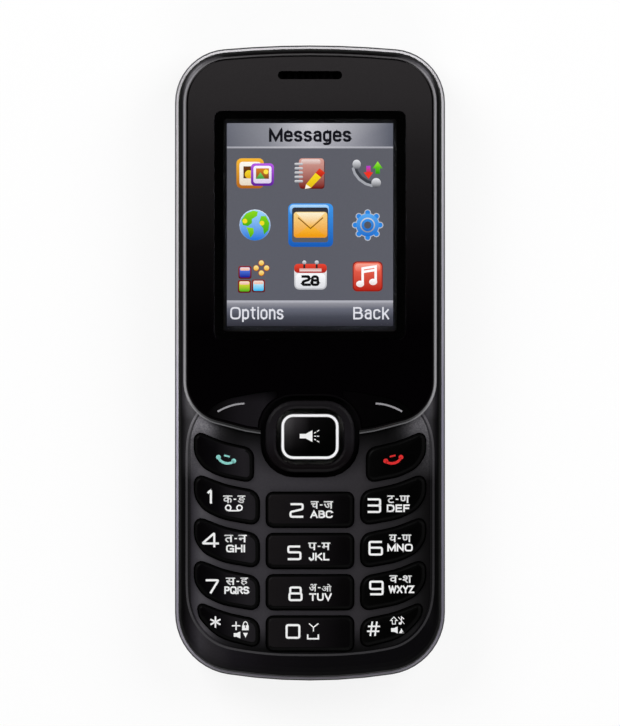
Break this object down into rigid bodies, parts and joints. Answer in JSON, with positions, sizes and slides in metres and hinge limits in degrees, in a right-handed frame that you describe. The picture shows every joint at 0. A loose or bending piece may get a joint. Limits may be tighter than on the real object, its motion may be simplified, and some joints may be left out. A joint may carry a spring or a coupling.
{
  "type": "feature phone",
  "caption": "Slim candy-bar feature phone with a colour display, curved keypad, rocking navigation ring, silver trim band and slide-off battery cover.",
  "frame": {"origin": "centre of the back face, which the phone lies on", "axes": "+X to the right across the keypad, +Y towards the earpiece, +Z out of the screen"},
  "size_m": [0.0458, 0.108, 0.014],
  "materials": {
    "housing_black": "glossy moulded plastic",
    "cover_black": "fine satin texture",
    "trim_silver": "satin silver lacquer",
    "fascia_black": "polished plastic",
    "lens_clear": "clear hard-coated acrylic",
    "frame_grey": "satin dark grey paint",
    "key_black": "glossy black with printed legends",
    "nav_black": "satin black",
    "ring_white": "bright white",
    "silicone": "translucent silicone",
    "foam_black": "closed foam",
    "board_green": "solder mask",
    "panel_glass": "lit display glass",
    "tray_white": "moulded white plastic",
    "polyimide": "flexible circuit",
    "plated_steel": "plated sheet metal",
    "tungsten": "sintered metal",
    "part_black": "moulded black plastic",
    "battery_grey": "wrapped metal can",
    "gold_contact": "gold plating",
    "led_yellow": "phosphor under clear resin"
  },
  "bodies": {
    "phone": {"front_housing": "housing_black", "trim_band": "trim_silver", "rear_housing": "housing_black", "fascia": "fascia_black", "display_lens": "lens_clear", "earpiece_grille": "part_black", "keypad_frame": "frame_grey", "keypad_membrane": "silicone", "key_domes": "plated_steel", "main_board": "board_green", "lcd_panel": "panel_glass", "lcd_tray": "tray_white", "lcd_gasket": "foam_black", "display_flex": "polyimide", "earpiece_speaker": "part_black", "microphone": "plated_steel", "vibration_motor": "plated_steel", "loudspeaker": "part_black", "battery": "battery_grey", "battery_contacts": "gold_contact", "sim_socket_1": "plated_steel", "sim_socket_2": "plated_steel", "memory_card_socket": "plated_steel", "usb_port": "plated_steel", "audio_jack": "part_black", "camera_module": "part_black", "camera_window": "lens_clear", "torch_led": "led_yellow", "torch_lens": "lens_clear", "shield_can": "plated_steel", "antenna": "gold_contact", "housing_screws": "plated_steel"},
    "key_1": {"key_1": "key_black"},
    "key_2": {"key_2": "key_black"},
    "key_3": {"key_3": "key_black"},
    "key_4": {"key_4": "key_black"},
    "key_5": {"key_5": "key_black"},
    "key_6": {"key_6": "key_black"},
    "key_7": {"key_7": "key_black"},
    "key_8": {"key_8": "key_black"},
    "key_9": {"key_9": "key_black"},
    "key_star": {"key_star": "key_black"},
    "key_0": {"key_0": "key_black"},
    "key_hash": {"key_hash": "key_black"},
    "key_call": {"key_call": "key_black"},
    "key_end": {"key_end": "key_black"},
    "soft_key_left": {"soft_key_left": "fascia_black"},
    "soft_key_right": {"soft_key_right": "fascia_black"},
    "select_key": {"select_key": "key_black", "select_ring": "ring_white"},
    "nav_rocker": {"nav_rocker": "silicone"},
    "nav_ring": {"nav_ring": "nav_black"},
    "battery_cover": {"battery_cover": "cover_black"},
    "vibration_weight": {"vibration_weight": "tungsten"}
  },
  "joints": [
    {"name": "battery_cover_slide", "type": "slide", "parent": "phone", "child": "battery_cover", "axis": [0, -1, 0], "range_m": [0, 0.078]},
    {"name": "key_1_press", "type": "slide", "parent": "phone", "child": "key_1", "axis": [0, 0, -1], "range_m": [0, 0.0004], "stiffness_N_per_m": 2500},
    {"name": "key_2_press", "type": "slide", "parent": "phone", "child": "key_2", "axis": [0, 0, -1], "range_m": [0, 0.0004], "stiffness_N_per_m": 2500},
    {"name": "key_3_press", "type": "slide", "parent": "phone", "child": "key_3", "axis": [0, 0, -1], "range_m": [0, 0.0004], "stiffness_N_per_m": 2500},
    {"name": "key_4_press", "type": "slide", "parent": "phone", "child": "key_4", "axis": [0, 0, -1], "range_m": [0, 0.0004], "stiffness_N_per_m": 2500},
    {"name": "key_5_press", "type": "slide", "parent": "phone", "child": "key_5", "axis": [0, 0, -1], "range_m": [0, 0.0004], "stiffness_N_per_m": 2500},
    {"name": "key_6_press", "type": "slide", "parent": "phone", "child": "key_6", "axis": [0, 0, -1], "range_m": [0, 0.0004], "stiffness_N_per_m": 2500},
    {"name": "key_7_press", "type": "slide", "parent": "phone", "child": "key_7", "axis": [0, 0, -1], "range_m": [0, 0.0004], "stiffness_N_per_m": 2500},
    {"name": "key_8_press", "type": "slide", "parent": "phone", "child": "key_8", "axis": [0, 0, -1], "range_m": [0, 0.0004], "stiffness_N_per_m": 2500},
    {"name": "key_9_press", "type": "slide", "parent": "phone", "child": "key_9", "axis": [0, 0, -1], "range_m": [0, 0.0004], "stiffness_N_per_m": 2500},
    {"name": "key_star_press", "type": "slide", "parent": "phone", "child": "key_star", "axis": [0, 0, -1], "range_m": [0, 0.0004], "stiffness_N_per_m": 2500},
    {"name": "key_0_press", "type": "slide", "parent": "phone", "child": "key_0", "axis": [0, 0, -1], "range_m": [0, 0.0004], "stiffness_N_per_m": 2500},
    {"name": "key_hash_press", "type": "slide", "parent": "phone", "child": "key_hash", "axis": [0, 0, -1], "range_m": [0, 0.0004], "stiffness_N_per_m": 2500},
    {"name": "key_call_press", "type": "slide", "parent": "phone", "child": "key_call", "axis": [0, 0, -1], "range_m": [0, 0.0004], "stiffness_N_per_m": 2500},
    {"name": "key_end_press", "type": "slide", "parent": "phone", "child": "key_end", "axis": [0, 0, -1], "range_m": [0, 0.0004], "stiffness_N_per_m": 2500},
    {"name": "soft_key_left_press", "type": "slide", "parent": "phone", "child": "soft_key_left", "axis": [0, 0, -1], "range_m": [0, 0.0004], "stiffness_N_per_m": 2500},
    {"name": "soft_key_right_press", "type": "slide", "parent": "phone", "child": "soft_key_right", "axis": [0, 0, -1], "range_m": [0, 0.0004], "stiffness_N_per_m": 2500},
    {"name": "select_key_press", "type": "slide", "parent": "phone", "child": "select_key", "axis": [0, 0, -1], "range_m": [0, 0.0004], "stiffness_N_per_m": 2500},
    {"name": "nav_tilt_up_down", "type": "hinge", "parent": "phone", "child": "nav_rocker", "pos_m": [0, -0.0125, 0.00956], "axis": [1, 0, 0], "range_deg": [-2, 2], "stiffness_Nm_per_rad": 0.3},
    {"name": "nav_tilt_left_right", "type": "hinge", "parent": "nav_rocker", "child": "nav_ring", "pos_m": [0, -0.0125, 0.01041], "axis": [0, 1, 0], "range_deg": [-2, 2], "stiffness_Nm_per_rad": 0.3},
    {"name": "vibration_weight_spin", "type": "hinge", "parent": "phone", "child": "vibration_weight", "pos_m": [0.0151, 0.02745, 0.0047], "axis": [1, 0, 0], "continuous": true}
  ]
}
